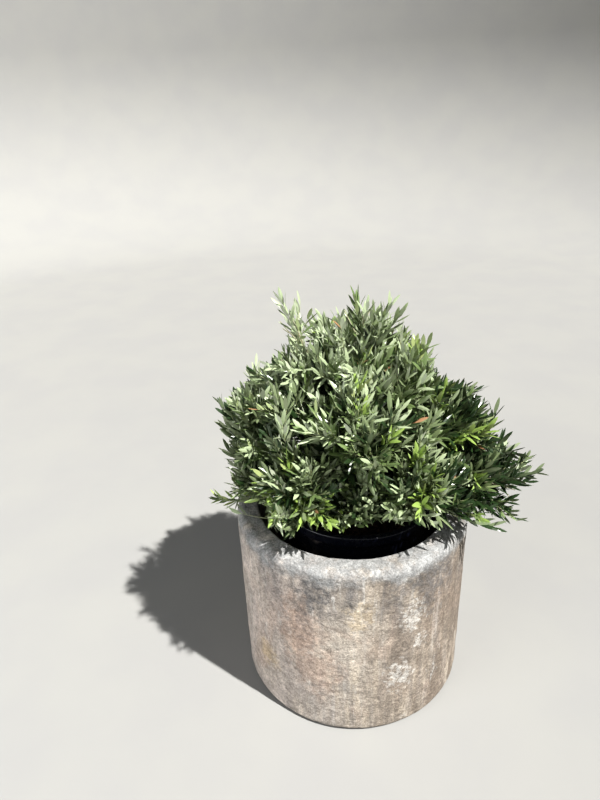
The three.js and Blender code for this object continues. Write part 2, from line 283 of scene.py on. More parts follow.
def bent_path(start, direction, length, lift):
    """A path that leaves in one direction and bends towards the light."""
    middle = start + direction * length / 2
    return bend(start, middle, middle + unit(direction + UP * lift) * length / 2)


# The limbs


TRUNK_HEAD = TRUNK_FOOT + [TRUNK_LEAN, -TRUNK_LEAN, TRUNK_HEIGHT]
TRUNK = spline(TRUNK_FOOT, (TRUNK_FOOT + TRUNK_HEAD) / 2 - [TRUNK_LEAN / 2, 0, 0], TRUNK_HEAD)


def trunk_radius(share):
    r = TRUNK_RADIUS
    return mix(r.neck, r.top, share) + max(0, 1 - share / r.flare) ** 2 * (r.foot - r.neck)


def lay_out(name, heading, rise, reach, twigs, seed):
    """Where a mass is: its outward direction, its furthest tip, its bough and where that ends."""
    out = pointing(heading, rise)
    root = HUB + out * reach * ROOT_SHARE
    root[2] = max(root[2], PLANTER.top + RIM_CLEAR)
    # a bough leaves the trunk on the side that faces its mass, higher up for a mass that rises more
    share = mix(*BOUGH.starts, min(1, max(0, (rise + 18) / 92)))
    start = TRUNK.at(share) + pointing(heading, 0) * BOUGH.off_axis * trunk_radius(share)
    middle = (start + root) / 2
    middle[2] -= BOUGH.sag * norm(root - start) * cos(radians(rise))
    middle[2] = max(middle[2], start[2])
    return Values(
        name=name, reach=reach, twigs=twigs, seed=seed, out=out, root=root, tip=HUB + out * reach,
        leaf_length=LEAF.length * min(1, reach / SPACING.full_reach), bough_radius=reach * BOUGH.radius_per_reach,
        bough=spline(start, middle, root),
    )


PLACES = [lay_out(*mass) for mass in MASSES]
for place in PLACES:
    # the planes through the hub that part a mass from each other mass
    place.walls = unit_rows(np.array([other.out - place.out for other in PLACES if other is not place]))


def bough_radius(place, share):
    return place.bough_radius * mix(1, BOUGH.tip_share, share)


# The rule by which twigs and leaves fill a mass's space


def balls_along(path, radius_at, count):
    return path.spaced(count), np.array([radius_at(s) for s in np.linspace(0, 1, count + 1)])


wood = [balls_along(TRUNK, trunk_radius, 12)]
wood += [balls_along(p.bough, lambda s: bough_radius(p, s), 40) for p in PLACES]
WOOD_POINTS, WOOD_RADII = (np.concatenate(parts) for parts in zip(*wood))


def clear_of_pots(points, radius):
    clear = radius + POT_MARGIN
    x, y, z = points.T
    rim = (np.hypot(x, y) >= PLANTER.radius + clear) | (z >= PLANTER.top + clear)
    return rim & ((from_liner(x, y) > LINER.radius + clear) | (z > LINER.top + clear))


def in_space(place, points, lobe, past_walls, past_reach):
    """Whether points lie in the mass's space, or this far past its walls and its reach."""
    away = points - HUB
    distance = norm(away, axis=1)
    reach = place.reach * (1 - lobe * (1 - away @ place.out / distance))
    return (away @ place.walls.T < past_walls).all(axis=1) & (distance < reach + past_reach)


def within(place, points, radius):
    return in_space(place, points, LOBE, -radius - MARGIN, 0) & clear_of_pots(points, radius)


def clear_of_wood(points, radius):
    gaps = norm(points[:, None] - WOOD_POINTS[None], axis=2) - WOOD_RADII
    return (gaps > radius + LIMB_MARGIN).all(axis=1)


def stem_path(place):
    """The stem goes on from the bough and bends to the mass's furthest tip."""
    direction = place.bough.along(1)
    start = place.root + direction * GAP
    end = place.tip - place.out * LEAF.length * 0.7
    return bend(start, start + direction * norm(end - start) / 2, end)


def leaf_on(path, share, direction, length, tilt):
    base = path.at(share)
    return Values(base=base, direction=direction, length=length, tilt=tilt, middle=base + direction * length / 2)


def tip_leaf(place, path):
    return leaf_on(path, 0.97, path.along(1), place.leaf_length * 0.8, 30)


def leaf_fits(place, leaf, leaves):
    """Whether a leaf is clear of the other leaves, the mass's edges and the wood."""
    middles = np.array([other.middle for other in leaves])
    if (norm(middles - leaf.middle, axis=1) < SPACING.apart * place.leaf_length).any():
        return False
    face = unit(np.array([*place.out[:2], 0.3]))
    face = unit(face - leaf.direction * (face @ leaf.direction))
    tilt = radians(leaf.tilt)
    face = face * cos(tilt) + np.cross(leaf.direction, face) * sin(tilt)
    across = np.cross(face, leaf.direction) * LEAF.width * leaf.length / 2 / LEAF.length
    centre = leaf.base + leaf.direction * (leaf.length / 2 - LEAF.sink)
    tip = centre + leaf.direction * leaf.length / 2
    ridge = centre + face * LEAF.ridge
    inner, outer = (leaf.base + ridge) / 2, (tip + ridge) / 2
    outline = np.array([inner, ridge, centre - across, centre + across, outer, tip])
    return within(place, outline, 0).all() and clear_of_wood(outline, LEAF.width / 6).all()


def grow_twigs(place, draw):
    """The twigs of a mass, each cut back until it fits with the leaf at its tip."""
    twigs = []
    for k in range(place.twigs):
        share = mix(*TWIG.shares, k / (place.twigs - 1))
        angle = mix(*TWIG.angles, share) + 12 * (draw() - 0.5)
        direction = branching(place.stem.along(share), angle, k * GOLDEN_ANGLE + 30 * draw())
        start = place.stem.at(share)
        length = place.reach * TWIG.longest
        while length >= TWIG.shortest:
            path = bent_path(start, direction, length, TWIG.lift)
            points = path.spaced(10)[2:]
            leaf = tip_leaf(place, path)
            free = within(place, points, TWIG.radius) & clear_of_wood(points, TWIG.radius)
            if free.all() and leaf_fits(place, leaf, place.leaves):
                twigs.append((path, length))
                place.leaves.append(leaf)
                break
            length *= TWIG.cut
    return twigs


def grow_leaves(place, path, length, draw):
    """Leaves along a path, each turned and drawn in until it fits, or else skipped."""
    count = max(2, floor(length / SPACING.pitch + 0.5))
    for j in range(count):
        share = mix(*LEAF.shares, j / (count - 1))
        size = place.leaf_length * mix(*LEAF.sizes, draw())
        tilt = LEAF.tilt * (2 * draw() - 1)
        for k in range(SPACING.tries):
            turn = (j + k) * GOLDEN_ANGLE + 60 * draw()
            direction = unit(branching(path.along(share), LEAF.angle - 4 * k, turn) + UP * LEAF.lift)
            leaf = leaf_on(path, share, direction, size * (1 - 0.06 * k), tilt)
            if leaf_fits(place, leaf, place.leaves):
                place.leaves.append(leaf)
                break


for place in PLACES:
    draw = seeded(place.seed)
    place.stem = stem_path(place)
    place.leaves = [tip_leaf(place, place.stem)]
    place.twig_paths = grow_twigs(place, draw)
    grow_leaves(place, place.stem, place.reach * 0.4, draw)
    for path, length in place.twig_paths:
        grow_leaves(place, path, length, draw)


# The finer growth

shoots = []
blades = {tint: [] for tint in TINTS}  # rows of base, direction, face, length, width and droop


def clear_of_pots_closely(points):
    """Keeps leaves out of the planter's wall, the nursery pot and the soil."""
    x, y, z = points.T
    from_axis = np.hypot(x, y)
    in_wall = (from_axis > PLANTER.radius - PLANTER.wall - NEAR.planter) & (from_axis < PLANTER.radius + NEAR.planter)
    in_wall &= z < PLANTER.top + NEAR.planter
    in_liner = (from_liner(x, y) < LINER.radius + NEAR.liner) & (z < LINER.top + NEAR.liner)
    deep = (from_axis < PLANTER.radius) & (z < PLANTER.top - NEAR.depth)
    return ~(in_wall | in_liner | deep)


def tint_of(place, point, draw):
    """Deals a shoot its colour: young low in front and at the tips, dark within and to the right, pale elsewhere."""
    x, y, z = point
    reach = norm(point - HUB) / place.reach
    # painted light: fewer dark and more pale leaves at the top, and more pale ones low down
    # painted shade: more dark leaves within the crown and to the right, fewer pale ones to the right;
    weights = {
        "young": 0.03 + 0.14 * (z < 0.68 and y < 0.05 and x < SHADED_X) + 0.05 * (reach > 0.85),
        "dark": 0.24 + 0.45 * (reach < 0.6) + 1.5 * (x > SHADED_X) - 0.16 * (z > 0.88),
        "pale": 0.31 + 0.24 * (z > 0.8) + 0.3 * (z > 0.9) + 0.22 * (z < 0.66) - 0.2 * (x > SHADED_X),
    }
    # painted shade: nearly every leaf in the lower right corner is dark
    if x > SHADED_CORNER.x and z < SHADED_CORNER.height:
        weights = {"dark": 5.0}
    pick = draw() * (sum(weights.values()) + 0.55)
    for tint, weight in weights.items():
        if pick < weight:
            return tint
        pick -= weight
    return "sage" if draw() < 0.6 else "olive"


def inside_outline(points, spare):
    """Whether points lie within the crown's outline from the front, with this much to spare."""
    seen = EYE + (points - EYE) * (EYE[1] / (EYE[1] - points[:, 1]))[:, None]
    x, z = seen[:, 0], seen[:, 2]
    left, right = (np.interp(z, EDGES[0], edge) for edge in EDGES[1:])
    inside = (x > left + spare) & (x < right - spare) & (z < np.interp(x, *TOPS) - spare)
    return inside & ((points[:, 1] > FRONT_Y) | (z > np.interp(x, *FRONT)))


def in_reach(place, points):
    """Whether fine growth may be there; it mingles a little with that of other masses."""
    inside = in_space(place, points, FINE_LOBE, MINGLE, SPARE)
    inside &= points[:, 2] > LOWEST + RAISED.lift * (points[:, 0] > RAISED.x)
    return inside & clear_of_pots_closely(points) & inside_outline(points, -OUTSIDE)


def put_leaves(place, path, first, draw, free):
    """Leaves in crossed pairs along a shoot, from a share of it on, where they are free."""
    count = max(3, round(path.length / SHOOT.pitch))
    first_turn = 360 * draw()
    tint = tint_of(place, path.at(1), draw)
    vigour = mix(*BLADE.vigour, draw())
    rows, kinds = [], []
    for j in range(count):
        share = mix(first, 1.0, j / (count - 1))
        along = path.along(share)
        taper = mix(*BLADE.taper, sin(pi * mix(0.18, 0.86, share)))
        size = BLADE.length * taper * mix(*BLADE.lengths, draw()) * vigour
        for side in (0, 180):
            angle = mix(*BLADE.angles, share) + 16 * (draw() - 0.5)
            turn = first_turn + 90 * j + side + 24 * (draw() - 0.5)
            leaf_direction = unit(branching(along, angle, turn) + UP * BLADE.lift)
            inner = unit(along - leaf_direction * (along @ leaf_direction))
            face = inner * 0.55 + UP * 0.5 + place.out * 0.25 + noise_step(draw) * 1.5
            width, droop = BLADE.width * vigour * mix(*BLADE.widths, draw()), mix(*BLADE.droops, draw())
            rows.append([*path.at(share), *leaf_direction, *face, size, width, droop])
            kinds.append("dead" if draw() < BLADE.dead else tint)
    rows = np.array(rows)
    base, reach = rows[:, :3], rows[:, 3:6] * rows[:, 9:10]
    kept = free(base + reach) & clear_of_pots_closely(base + reach * 0.5)
    if kept.mean() >= 0.5:
        shoots.append(path)
        for row, kind in zip(rows[kept], np.array(kinds)[kept]):
            blades[kind].append(row)


def grow_shoot(place, base, direction, length, draw, filled=1.0):
    """A shoot within its mass, if there is room for it."""
    path = bent_path(base, unit(direction + noise_step(draw) * 0.12), length, SHOOT.lift)
    points, end = path.spaced(2)[1:], path.at(1)
    fits = (in_reach(place, points) & inside_outline(points, SHOOT.clear)).all()
    if not fits or norm(end - HUB) > place.reach * filled:
        return None
    # the crown is open at its top and at its right
    high = end[2] > OPEN.height
    left_out = OPEN.top * high + OPEN.left * (high and end[0] < OPEN.left_x) + OPEN.right * (end[0] > OPEN.right_x)
    if draw() < left_out:
        return None
    put_leaves(place, path, 0.14, draw, lambda points: in_reach(place, points))
    return path


def grow_mass(place):
    """A shoot for most leaves of the solids, with side shoots, and more along the wood."""
    draw = seeded(1000 + place.seed)
    scale = place.leaf_length / LEAF.length
    filled = FILLED.get(place.name, 1.0)
    for leaf in place.leaves:
        if leaf.middle[2] > THIN_LEAVES.height and draw() < THIN_LEAVES.left_out:
            continue
        path = grow_shoot(place, leaf.base, leaf.direction, leaf.length * mix(0.74, 0.94, draw()), draw)
        for k, share in enumerate(SHOOT.sides if path else ()):
            turn = k * GOLDEN_ANGLE + 360 * draw()
            side = branching(path.along(share), 38 + 14 * (draw() - 0.5), turn)
            grow_shoot(place, path.at(share), side, path.length * mix(0.9, 0.6, share), draw, filled)
    for limb in [place.bough, place.stem] + [path for path, length in place.twig_paths]:
        first = 0.5 if limb is place.bough else 0.1
        count = round(limb.length / SHOOT.spacing)
        for j in range(count):
            share = mix(first, 0.97, (j + 0.8 * draw()) / count)
            direction = branching(limb.along(share), mix(60, 30, share), j * GOLDEN_ANGLE + 80 * draw())
            direction = unit(direction * 0.75 + place.out * 0.35 + UP * 0.4)
            base = limb.at(share)
            if base[2] < THIN_LIMBS.height or draw() < THIN_LIMBS.kept:
                grow_shoot(place, base, direction, mix(*SHOOT.lengths, draw()) * scale, draw, filled)


def grow_leader(place, tip, draw, beyond=OVERHANG.low):
    """A long shoot from the mass's wood to a tip, with side shoots; leaves may pass the outline this far."""
    limbs = [place.stem] + [path for path, length in place.twig_paths]
    starts = np.array([limb.at(share) for limb in limbs for share in np.linspace(0.15, 0.95, 9)])
    away = tip - starts
    distance = norm(away, axis=1)
    outward = unit(tip - HUB + UP * 0.15)
    # the best start is near enough, behind the tip and below it
    cost = np.abs(distance - LEADER.run) + 1.2 * (distance - away @ outward) + 0.3 * (away[:, 2] < 0.02)
    start = starts[np.argmin(cost)]
    sag = (1 - abs(outward[2])) * 0.16 + 0.03
    middle = (start + tip) / 2 - UP * sag * norm(tip - start) + noise_step(draw) * 0.012
    path = bend(start, middle, tip)

    def free(points):
        return clear_of_pots_closely(points) & inside_outline(points, -beyond) & (points[:, 1] < LEADER.back_y)

    put_leaves(place, path, 0.12, draw, free)
    full = tip[2] < LEADER.crest and tip[0] < LEADER.right_x
    for k, share in enumerate(LEADER.sides if full else LEADER.one_side):
        side = branching(path.along(share), 30 + 14 * (draw() - 0.5), k * GOLDEN_ANGLE + 360 * draw())
        twig = bent_path(path.at(share), side, mix(0.085, 0.045, share), 0.5)
        put_leaves(place, twig, 0.2, draw, free)


def grow_leaders(draw):
    """Those of the photograph, and four more round each mass behind."""
    by_name = {place.name: place for place in PLACES}
    for name, tips in LEADERS:
        for tip in np.array(tips) / 1000:
            beyond = OVERHANG.low if tip[2] < LEADER.crest else OVERHANG.crest
            grow_leader(by_name[name], tip, draw, beyond)
    for place in [place for place in PLACES if place.out[1] > -0.15]:
        for _ in range(4):
            tip = HUB + unit(place.out + noise_step(draw) * 0.9 + UP * 0.15) * place.reach * mix(0.92, 1.0, draw())
            tip[1] = min(tip[1], 0.355)
            if inside_outline(tip[None], 0.02)[0] and tip[2] < LEADER.crest:
                grow_leader(place, tip, draw)


def close_clefts(draw):
    low, high = CLEFT.heights
    for i, place in enumerate(PLACES):
        for other in PLACES[i + 1 :]:
            if place.out @ other.out < cos(radians(CLEFT.angle)):
                continue
            for k in range(CLEFT.shoots):
                host, reach = (place, other)[k % 2], (place.reach + other.reach) / 2
                outward = unit(place.out + other.out + noise_step(draw) * 0.45)
                tip = HUB + outward * reach * mix(0.66, 0.9, draw())
                if inside_outline(tip[None], 0.03)[0] and low < tip[2] < high and tip[1] < CLEFT.back_y:
                    grow_leader(host, tip, draw, OVERHANG.cleft)


for place in PLACES:
    grow_mass(place)
draw = seeded(77)
grow_leaders(draw)
close_clefts(draw)


# Meshes


def add_object(name, data):
    thing = bpy.data.objects.new(name, data)
    bpy.context.scene.collection.objects.link(thing)
    return thing


def new_piece(name, shape, looks, nodes=(), smooth=True):
    piece = add_object(name, mesh_of(name, *shape, smooth=smooth))
    for look in looks:
        piece.data.materials.append(look)
    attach(piece, "root")
    if nodes:
        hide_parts(*nodes)


def mesh_of(name, vertices, triangles, looks=None, smooth=True):
    mesh = bpy.data.meshes.new(name)
    mesh.from_pydata(vertices, [], triangles, shade_flat=not smooth)
    if looks is not None:
        mesh.polygons.foreach_set("material_index", looks.astype(np.int32))
    mesh.validate()
    return mesh


def walls_between(rows, sides):
    """The triangles between rings of points."""
    row, k = np.meshgrid(np.arange(rows - 1) * sides, np.arange(sides), indexing="ij")
    a, b = row + k, row + (k + 1) % sides
    return np.stack([a, b, b + sides, a, b + sides, a + sides], axis=-1).reshape(-1, 3)


def closed_walls(rows, sides):
    """The same, closed at its ends round the two points that come after the rings."""
    k, end, last = np.arange(sides), rows * sides, (rows - 1) * sides
    foot = np.stack([np.full(sides, end), (k + 1) % sides, k], axis=1)
    head = np.stack([np.full(sides, end + 1), last + k, last + (k + 1) % sides], axis=1)
    return np.concatenate([walls_between(rows, sides), foot, head])


def tube(points, radii, sides):
    """A closed tube through the points, with its ends drawn to a point."""
    along = unit_rows(np.gradient(points, axis=0))
    side = sides_of(along[0])[0]
    rings = []
    turns = np.linspace(0, 2 * pi, sides, endpoint=False)
    for point, direction, radius in zip(points, along, radii):
        side = unit(side - direction * (side @ direction))
        other = np.cross(direction, side)
        rings.append(point + radius * (np.outer(np.cos(turns), side) + np.outer(np.sin(turns), other)))
    start = points[0] - along[0] * radii[0] * 0.5
    end = points[-1] + along[-1] * radii[-1] * 0.8
    return np.concatenate([*rings, [start], [end]]), closed_walls(len(points), sides)


def joined(parts):
    """Several (vertices, triangles) as one."""
    vertices, triangles = zip(*parts)
    offsets = np.cumsum([0] + [len(v) for v in vertices])
    return np.concatenate(vertices), np.concatenate([t + offset for t, offset in zip(triangles, offsets)])


def rings_of(profile, sides, centre=(0, 0)):
    """The points of a profile of (radius, height) pairs turned about an upright axis."""
    turns = np.linspace(0, 2 * pi, sides, endpoint=False)
    radii, heights = np.array(profile).T
    x = np.outer(radii, np.cos(turns)) + centre[0]
    y = np.outer(radii, np.sin(turns)) + centre[1]
    z = np.repeat(heights[:, None], sides, axis=1)
    return np.stack([x, y, z], axis=-1).reshape(-1, 3)


def lathe(profile, sides, centre=(0, 0)):
    """A closed solid from a profile that starts and ends on the axis."""
    ends = [[*centre[:2], z] for r, z in (profile[0], profile[-1])]
    vertices = np.concatenate([rings_of(profile[1:-1], sides, centre), ends])
    return vertices, closed_walls(len(profile) - 2, sides)


def pushed(shape, push):
    """A shape, each vertex moved by what a function of its place gives."""
    vertices, triangles = shape
    return vertices + [push(*v) for v in vertices], triangles


def corner(r, z, radius, start, end, steps):
    turns = np.radians(np.linspace(start, end, steps + 1))
    return [(r + radius * cos(a), z + radius * sin(a)) for a in turns]


def run(a, b, step):
    """Points from a to b without its ends, about a step apart."""
    count = max(2, round(dist(a, b) / step))
    return [(mix(a[0], b[0], i / count), mix(a[1], b[1], i / count)) for i in range(1, count)]


def grain(point, scale, octaves=3):
    return noise.fractal(Vector(point) * scale, 1.0, 2.0, octaves)


# Materials


def colour(*tone):
    """A colour given as it looks on a screen."""
    return *(c / 12.92 if c <= 0.04045 else ((c + 0.055) / 1.055) ** 2.4 for c in tone), 1.0


class Look:
    """A material of nodes that read the place on the object, its tone laid on in layers."""

    def __init__(self, name, tone, gloss, **values):
        self.material = bpy.data.materials.new(name)
        self.material.use_nodes = True
        self.tree = self.material.node_tree
        self.shader = self.tree.nodes["Principled BSDF"]
        self.shade(Specular_IOR_Level=gloss, **values)
        self.place = self.tree.nodes.new("ShaderNodeTexCoord").outputs["Object"]
        self.tone = colour(*tone)

    def put(self, node, socket, value):
        if isinstance(value, bpy.types.NodeSocket):
            self.tree.links.new(value, node.inputs[socket])
        elif value is not None:
            node.inputs[socket].default_value = value

    def shade(self, **values):
        for socket, value in values.items():
            self.put(self.shader, socket.replace("_", " "), value)

    def node(self, kind, inputs, **settings):
        node = self.tree.nodes.new("ShaderNode" + kind)
        for setting, value in settings.items():
            setattr(node, setting, value)
        for socket, value in inputs.items():
            self.put(node, socket, value)
        return node.outputs

    def stretched(self, scale):
        return self.node("Mapping", {"Vector": self.place, "Scale": scale})["Vector"]

    def noise(self, scale, detail=3, stretch=None, rough=0.5, distort=0):
        place = self.stretched(stretch) if stretch else self.place
        inputs = {"Vector": place, "Scale": scale, "Detail": detail, "Roughness": rough, "Distortion": distort}
        return self.node("TexNoise", inputs)["Fac"]

    def span(self, value, low, high, to_low=0.0, to_high=1.0):
        inputs = {"Value": value, "From Min": low, "From Max": high, "To Min": to_low, "To Max": to_high}
        return self.node("MapRange", inputs, interpolation_type="SMOOTHSTEP")["Result"]

    def clouds(self, limits, *noise):
        return self.span(self.noise(*noise), *limits)

    def maths(self, operation, a, b):
        return self.node("Math", {0: a, 1: b}, operation=operation)[0]

    def times(self, a, b):
        return self.maths("MULTIPLY", a, b)

    def blend(self, share, a, b, how="MIX"):
        return self.node("Mix", {0: share, 6: a, 7: b}, data_type="RGBA", blend_type=how)[2]

    def layer(self, tone, share, *shares):
        """Lays a tone over what is there by the product of the shares."""
        for other in shares:
            share = self.times(share, other)
        self.tone = self.blend(share, self.tone, colour(*tone))

    def axis(self, index):
        return self.node("SeparateXYZ", {0: self.place})[index]

    def toward(self, x, y, low, high):
        """How far the surface lies towards this side of the axis."""
        return self.span(self.maths("ADD", self.times(self.axis(0), x), self.times(self.axis(1), y)), low, high)

    def patch(self, centre, radius, tall, strength, ragged=0.6):
        """A patch round a point, with a ragged edge, drawn out upwards where tall is above 1."""
        inputs = {0: self.stretched((1, 1, 1 / tall)), 1: (centre[0], centre[1], centre[2] / tall)}
        away = self.node("VectorMath", inputs, operation="DISTANCE")["Value"]
        edge = self.clouds((0.25, 0.75, -ragged * radius, ragged * radius), 2.2 / radius, 4, None, 0.65)
        core = (0.8 * ragged - 0.1) * radius
        return self.span(self.maths("ADD", away, edge), (1.6 - ragged) * radius, core, 0, strength)

    def patches(self, share, *patches):
        for patch in patches:
            share = self.maths("MAXIMUM", share, self.patch(*patch))
        return share

    def bump(self, height, distance, strength, under=None):
        inputs = {"Height": height, "Distance": distance, "Strength": strength, "Normal": under}
        return self.node("Bump", inputs)["Normal"]

    def finished(self, relief, *roughness):
        """The material, with its layers, its relief and clouds of roughness."""
        self.shade(Base_Color=self.tone, Normal=relief)
        if roughness:
            self.shade(Roughness=self.clouds(*roughness))
        return self.material


STONE = Values(
    base=(0.59, 0.56, 0.525), beige=(0.71, 0.67, 0.615), streak=(0.52, 0.5, 0.485), wash=(0.78, 0.77, 0.75),
    cool=(0.74, 0.7, 0.675), cream=(0.8, 0.765, 0.715), rose=(0.7, 0.61, 0.55), ochre=(0.73, 0.65, 0.51),
    taupe=(0.46, 0.42, 0.38), grey=(0.4, 0.395, 0.395), lime=(0.83, 0.825, 0.81), rim=(0.555, 0.56, 0.56),
    pit=(0.33, 0.3, 0.27),
)


def cast_stone():
    look = Look("cast_stone", STONE.base, 0.25)
    height, times, span, clouds, layer = look.axis(2), look.times, look.span, look.clouds, look.layer
    layer(STONE.beige, clouds((0.38, 0.62), 9, 5, (1, 1, 0.5), 0.6, 0.5))
    # faint upright streaks and washes all round
    layer(STONE.streak, clouds((0.42, 0.62, 0, 0.6), 46, 5, (1, 1, 0.09), 0.7))
    washes = clouds((0.52, 0.66, 0, 0.7), 58, 5, (1, 1, 0.07), 0.7, 0.3)
    layer(STONE.wash, washes, span(height, 0.12, 0.4, 0.3, 1))
    # paler and cooler round to the left: a painted sheen of light from that side
    left = look.toward(-0.95, -0.3, 0.08, 0.26)
    layer(STONE.cool, clouds((0.34, 0.6, 0.35, 0.75), 14, 4, (1, 1, 0.4), 0.6), left)
    # cream in the middle of the front, warm patches beside it
    layer(STONE.cream, look.patch((0.01, -0.295, 0.3), 0.105, 1.2, 0.4, 0.4))
    warm = look.patches(
        clouds((0.5, 0.7, 0, 0.35), 6, 4, (1.2, 1.2, 0.7), 0.6, 1.0),
        ((-0.125, -0.267, 0.31), 0.07, 1.9, 0.7, 0.4),
        ((-0.085, -0.283, 0.2), 0.07, 1.4, 0.5, 0.4),
    )
    layer(STONE.rose, warm, span(height, 0.47, 0.4))
    layer(STONE.ochre, look.patch((-0.21, -0.208, 0.165), 0.045, 1.0, 0.5, 0.4))
    layer(STONE.ochre, look.patch((0.02, -0.295, 0.385), 0.045, 1.0, 0.35))
    # upright streaks down the right side, a brownish grey that is partly painted shade on that side
    right = look.toward(0.87, -0.5, 0.12, 0.27)
    layer(STONE.taupe, clouds((0.34, 0.58, 0.25, 0.9), 18, 5, (1, 1, 0.16), 0.62), right)
    # dark grey stains under the rim, drawn out downwards
    stain = clouds((0.44, 0.64, 0, 0.75), 15, 5, (1, 1, 0.3), 0.65, 0.4)
    stain = look.patches(
        times(stain, span(height, 0.3, 0.45, 0.02, 1)),
        ((-0.085, -0.283, 0.445), 0.055, 1.5, 0.9),
        ((0.185, -0.23, 0.45), 0.075, 1.4, 0.8),
        ((-0.11, -0.27, 0.36), 0.03, 3.0, 0.5),
    )
    layer(STONE.grey, stain, clouds((0.36, 0.6, 0.35, 1), 70, 4, None, 0.7))
    # lime bloom
    bloom = look.patches(
        clouds((0.6, 0.72, 0, 0.6), 22, 5, (1, 1, 0.35), 0.7, 0.8),
        ((0.143, -0.258, 0.36), 0.04, 1.4, 0.56),
        ((0.116, -0.271, 0.175), 0.04, 1.4, 0.56),
        ((0.165, -0.245, 0.27), 0.022, 1.4, 0.56),
    )
    layer(STONE.lime, bloom, clouds((0.38, 0.56), 85, 3, None, 0.7))
    # the rim, washed to a cool grey down to an uneven edge
    edge = look.maths("ADD", height, clouds((0.3, 0.7, -0.014, 0.014), 12, 4, None, 0.6))
    layer(STONE.rim, span(edge, 0.462, 0.486, 0, 0.9), clouds((0.3, 0.55, 0.35, 1), 26, 5, None, 0.65))
    # flaking and granular mottling
    scales = (52, 5, (1, 1, 1.4), 0.72, 0.9)
    speck = clouds((0.36, 0.64, 0.7, 1.28), 260, 5, None, 0.85)
    speck = times(speck, clouds((0.34, 0.66, 0.82, 1.17), 95, 4, None, 0.75))
    speck = times(speck, clouds((0.34, 0.66, 0.84, 1.14), 30, 5, None, 0.7, 0.5))
    speck = times(speck, clouds((0.34, 0.64, 0.86, 1.16), *scales))
    look.tone = look.blend(1.0, look.tone, look.node("CombineColor", {0: speck, 1: speck, 2: speck})[0], "MULTIPLY")
    # the pits are darkened: painted shade in their hollows
    cells = look.node("TexVoronoi", {"Vector": look.place, "Scale": 150})["Distance"]
    pits = times(span(cells, 0.1, 0.24, 1, 0), clouds((0.5, 0.62, 0, 0.7), 45, 2))
    layer(STONE.pit, pits)
    relief = look.bump(look.noise(*scales), 0.0045, 0.7)
    relief = look.bump(look.noise(120, 4, None, 0.75), 0.003, 0.7, relief)
    relief = look.bump(look.noise(420, 2, None, 0.6), 0.0007, 0.5, relief)
    relief = look.bump(look.maths("SUBTRACT", 1.0, pits), 0.0015, 0.6, relief)
    return look.finished(relief, (0.3, 0.7, 0.78, 0.97), 60, 2)


def black_plastic():
    look = Look("black_plastic", (0.05, 0.06, 0.1), 0.55)
    look.layer((0.19, 0.19, 0.2), look.clouds((0.56, 0.74, 0, 0.35), 38, 4, None, 0.6))
    return look.finished(look.bump(look.noise(30, 3, (1, 1, 0.5)), 0.0016, 0.4), (0.35, 0.7, 0.2, 0.42), 55, 3)


# The soil's own dark brown, darkened further as painted shade inside the pot
def earth():
    look = Look("earth", (0.09, 0.065, 0.05), 0.2)
    look.layer((0.21, 0.16, 0.12), look.clouds((0.35, 0.65), 90, 4))
    look.layer((0.3, 0.24, 0.18), look.clouds((0.6, 0.7, 0, 0.6), 160, 3, (1, 0.3, 1), 0.6))
    return look.finished(look.bump(look.noise(260, 4, None, 0.7), 0.0016, 0.8), (0.3, 0.7, 0.85, 1.0), 120, 2)


def bark():
    look = Look("bark", (0.42, 0.39, 0.34), 0.25)
    look.layer((0.64, 0.6, 0.53), look.clouds((0.35, 0.65), 60, 4, (1, 1, 0.3)))
    cracks = look.clouds((0.5, 0.66, 0, 0.8), 210, 3, (1, 1, 0.16), 0.6)
    look.layer((0.25, 0.22, 0.19), cracks)
    look.layer((0.62, 0.65, 0.56), look.clouds((0.6, 0.7, 0, 0.5), 45, 4, None, 0.65))  # lichen
    return look.finished(look.bump(look.maths("SUBTRACT", 1.0, cracks), 0.0012, 0.7), (0.3, 0.7, 0.8, 1.0), 150, 2)


# The chips' own brown, darkened further as painted shade inside the pot
def bark_chip():
    look = Look("bark_chip", (0.15, 0.105, 0.08), 0.2, Roughness=0.9)
    look.layer((0.3, 0.23, 0.17), look.clouds((0.4, 0.6), 70, 3))
    return look.finished(look.bump(look.noise(400, 3, (1, 0.3, 1)), 0.0008, 0.7))


def plain(name, tone, roughness, gloss=0.5):
    return Look(name, tone, gloss, Base_Color=colour(*tone), Roughness=roughness).material


# The planter


def planter_profile():
    radius, top, inner = PLANTER.radius, PLANTER.top, PLANTER.radius - PLANTER.wall
    shoulder, lip, foot = PLANTER.shoulder, PLANTER.lip, PLANTER.heel
    outer_low = corner(radius - foot, foot, foot, -90, 0, 5)
    outer_high = corner(radius - shoulder, top - shoulder, shoulder, 0, 90, 8)
    inner_high = corner(inner + lip, top - lip, lip, 90, 180, 5)
    return [
        (0, 0), *run((0, 0), outer_low[0], 0.09),
        *outer_low, *run(outer_low[-1], outer_high[0], 0.0042),
        *outer_high, *run(outer_high[-1], inner_high[0], 0.005),
        *inner_high, *run(inner_high[-1], (inner, PLANTER.floor), 0.03),
        (inner, PLANTER.floor), (0, PLANTER.floor),
    ]


def weathering(x, y, z):
    """Lumps, trowel ripples, pits and worn edges of the cast stone, only where it shows."""
    r, place = hypot(x, y), Vector((x, y, z))
    if r < PLANTER.radius - PLANTER.wall - 0.001 or z < 0.006:
        return np.zeros(3)
    lumps = 0.0012 * grain(place, 9) + 0.0006 * grain((x, y, z * 0.6), 38)
    ripples = 0.0005 * sin(z * 310 + 5 * noise.noise(place * 12)) * max(0, grain(place, 4, 1))
    pit = max(0, noise.noise(place * 95) - 0.38) * 0.006
    edge = max(0, 1 - abs(z - (PLANTER.top - 0.008)) / 0.016) * (r > PLANTER.radius - 0.022)
    worn = 0.004 * edge * max(0, grain(place, 26, 2) - 0.12)
    # the sides move outwards, the rim's top moves up
    outwards = [0, 0, 1] if z > PLANTER.top - 0.012 else [x / r, y / r, 0]
    return np.array(outwards) * (lumps + ripples - pit - worn)


new_piece("planter_stone", pushed(lathe(planter_profile(), 360), weathering), [cast_stone()], ["planter"])


# The nursery pot


